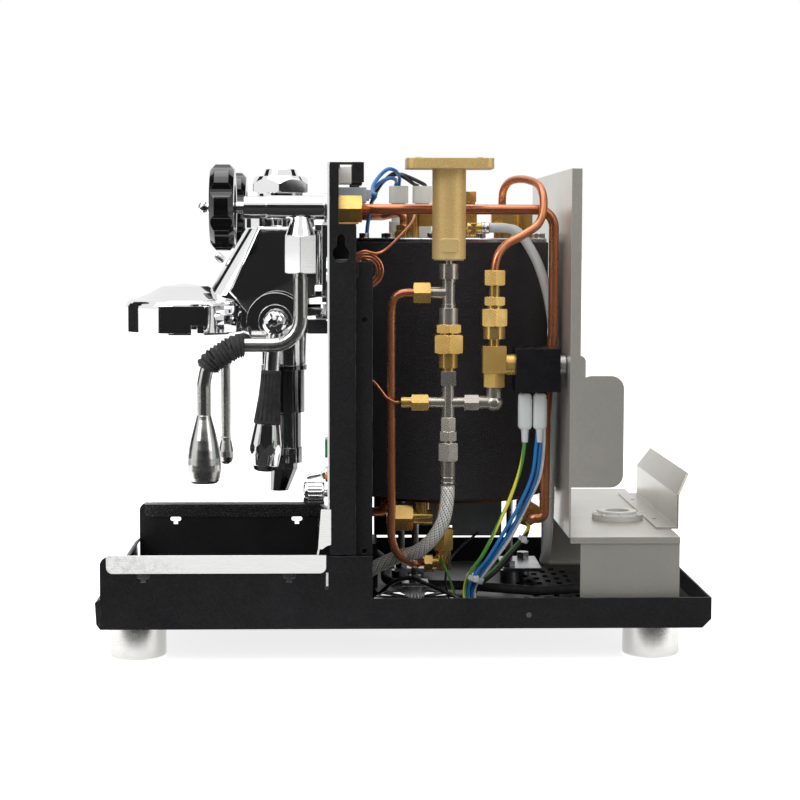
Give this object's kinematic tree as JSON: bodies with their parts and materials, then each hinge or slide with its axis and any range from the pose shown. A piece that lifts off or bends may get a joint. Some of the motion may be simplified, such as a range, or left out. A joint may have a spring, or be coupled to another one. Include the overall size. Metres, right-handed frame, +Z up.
{
  "type": "espresso machine",
  "caption": "Two-tap home espresso machine with its casing off: drip tray bay, chromed lever group, steam and hot water wands, insulated boiler, pipework and tank bay.",
  "frame": {"origin": "centre of the bounding box at the feet's underside", "axes": "+Y towards the back where the water tank stands, +Z up, +X towards the brew lever side"},
  "size_m": [0.32, 0.48, 0.3954],
  "materials": {
    "black_coat": "black textured powder coat",
    "zinc_steel": "zinc plated steel",
    "polished_steel": "polished stainless steel",
    "stainless_sheet": "brushed stainless sheet",
    "stainless_satin": "satin stainless steel",
    "black_rubber": "matt black rubber",
    "grey_box": "light grey-blue moulded plastic",
    "white_plastic": "white moulded plastic",
    "element_steel": "steel-clad heating element",
    "jacket_cloth": "black woven insulation",
    "lid_metal": "machined nickelled lid",
    "brass": "turned brass",
    "boot_cover": "translucent milky covers",
    "nickel": "nickel plated brass",
    "steel_braid": "braided steel wire",
    "coil_plastic": "black moulded coil",
    "copper": "drawn copper tube",
    "milky_silicone": "milky silicone tube",
    "pump_body": "black pump body",
    "wire_sleeve": "coloured wire insulation",
    "gauge_metal": "chromed bezel and white dial",
    "gauge_glass": "clear window",
    "panel_plastic": "display frame and lamp lens",
    "chrome": "bright chrome",
    "knob_black": "glossy black moulding",
    "needle_black": "black pointer"
  },
  "bodies": {
    "chassis": {"base_pan": "black_coat", "bay_trims": "polished_steel", "feet": "stainless_satin", "foot_pads": "black_rubber", "foot_nuts": "stainless_satin", "front_panel": "polished_steel", "front_frame": "black_coat", "frame_columns": "black_coat", "control_box": "grey_box", "tank_wall": "stainless_sheet", "tank_bridge": "stainless_sheet", "tank_guide": "stainless_sheet", "tank_coupling": "white_plastic", "boiler_vessel": "copper", "boiler_jacket": "jacket_cloth", "boiler_lid": "lid_metal", "boiler_legs": "zinc_steel", "heating_element": "element_steel", "boiler_fittings": "brass", "terminal_boots": "boot_cover", "expansion_valve": "brass", "nickel_tee": "nickel", "check_valves": "brass", "nickel_cross": "nickel", "braided_hose": "steel_braid", "solenoid_valve": "brass", "solenoid_coil": "coil_plastic", "pipe_nuts": "brass", "hot_water_pipe": "copper", "steam_pipe": "copper", "feed_pipes": "copper", "thermosiphon_pipes": "copper", "capillaries": "copper", "silicone_hoses": "milky_silicone", "pump": "pump_body", "wiring": "wire_sleeve", "gauges": "gauge_metal", "gauge_glasses": "gauge_glass", "panel_controls": "panel_plastic", "group_body": "chrome", "group_cap": "chrome", "group_chamber": "chrome", "shower_screen": "stainless_satin", "tap_bodies": "chrome"},
    "hot_water_knob": {"hot_water_spindle": "chrome", "hot_water_knob": "knob_black"},
    "steam_knob": {"steam_spindle": "chrome", "steam_knob": "knob_black"},
    "hot_water_swivel": {"hot_water_seat": "white_plastic"},
    "hot_water_wand": {"hot_water_wand": "stainless_satin", "hot_water_grip": "black_rubber"},
    "steam_swivel": {"steam_seat": "white_plastic"},
    "steam_wand": {"steam_wand": "stainless_satin", "steam_grip": "black_rubber"},
    "brew_lever": {"brew_lever": "chrome", "lever_grip": "black_rubber"},
    "power_toggle": {"power_toggle": "chrome"},
    "selector_knob": {"selector_knob": "chrome"},
    "boiler_needle": {"boiler_needle": "needle_black"},
    "pump_needle": {"pump_needle": "needle_black"}
  },
  "joints": [
    {"name": "hot_water_tap_turn", "type": "hinge", "parent": "chassis", "child": "hot_water_knob", "pos_m": [0.105, -0.133, 0.356], "axis": [0, -1, 0], "range_deg": [0, 360]},
    {"name": "steam_tap_turn", "type": "hinge", "parent": "chassis", "child": "steam_knob", "pos_m": [-0.105, -0.133, 0.356], "axis": [0, -1, 0], "range_deg": [0, 360]},
    {"name": "hot_water_wand_swing", "type": "hinge", "parent": "chassis", "child": "hot_water_swivel", "pos_m": [0.105, -0.0815, 0.317], "axis": [0, 0, 1], "range_deg": [-10, 90]},
    {"name": "hot_water_wand_tilt", "type": "hinge", "parent": "hot_water_swivel", "child": "hot_water_wand", "pos_m": [0.105, -0.0815, 0.317], "axis": [1, 0, 0], "range_deg": [-12, 12]},
    {"name": "steam_wand_swing", "type": "hinge", "parent": "chassis", "child": "steam_swivel", "pos_m": [-0.105, -0.0815, 0.317], "axis": [0, 0, -1], "range_deg": [-10, 90]},
    {"name": "steam_wand_tilt", "type": "hinge", "parent": "steam_swivel", "child": "steam_wand", "pos_m": [-0.105, -0.0815, 0.317], "axis": [1, 0, 0], "range_deg": [-12, 12]},
    {"name": "brew_lever_lift", "type": "hinge", "parent": "chassis", "child": "brew_lever", "pos_m": [0.06, -0.1035, 0.263], "axis": [-1, 0, 0], "range_deg": [0, 70]},
    {"name": "power_toggle_flip", "type": "hinge", "parent": "chassis", "child": "power_toggle", "pos_m": [0.1, -0.0636, 0.1435], "axis": [-1, 0, 0], "range_deg": [0, 24]},
    {"name": "selector_turn", "type": "hinge", "parent": "chassis", "child": "selector_knob", "pos_m": [0.1, -0.061, 0.128], "axis": [0, -1, 0], "range_deg": [0, 270]},
    {"name": "boiler_gauge_needle", "type": "hinge", "parent": "chassis", "child": "boiler_needle", "pos_m": [-0.068, -0.0562, 0.291], "axis": [0, 1, 0], "range_deg": [0, 270], "stiffness_Nm_per_rad": 0.0001},
    {"name": "pump_gauge_needle", "type": "hinge", "parent": "chassis", "child": "pump_needle", "pos_m": [0.068, -0.0562, 0.291], "axis": [0, 1, 0], "range_deg": [0, 270], "stiffness_Nm_per_rad": 0.0001}
  ]
}
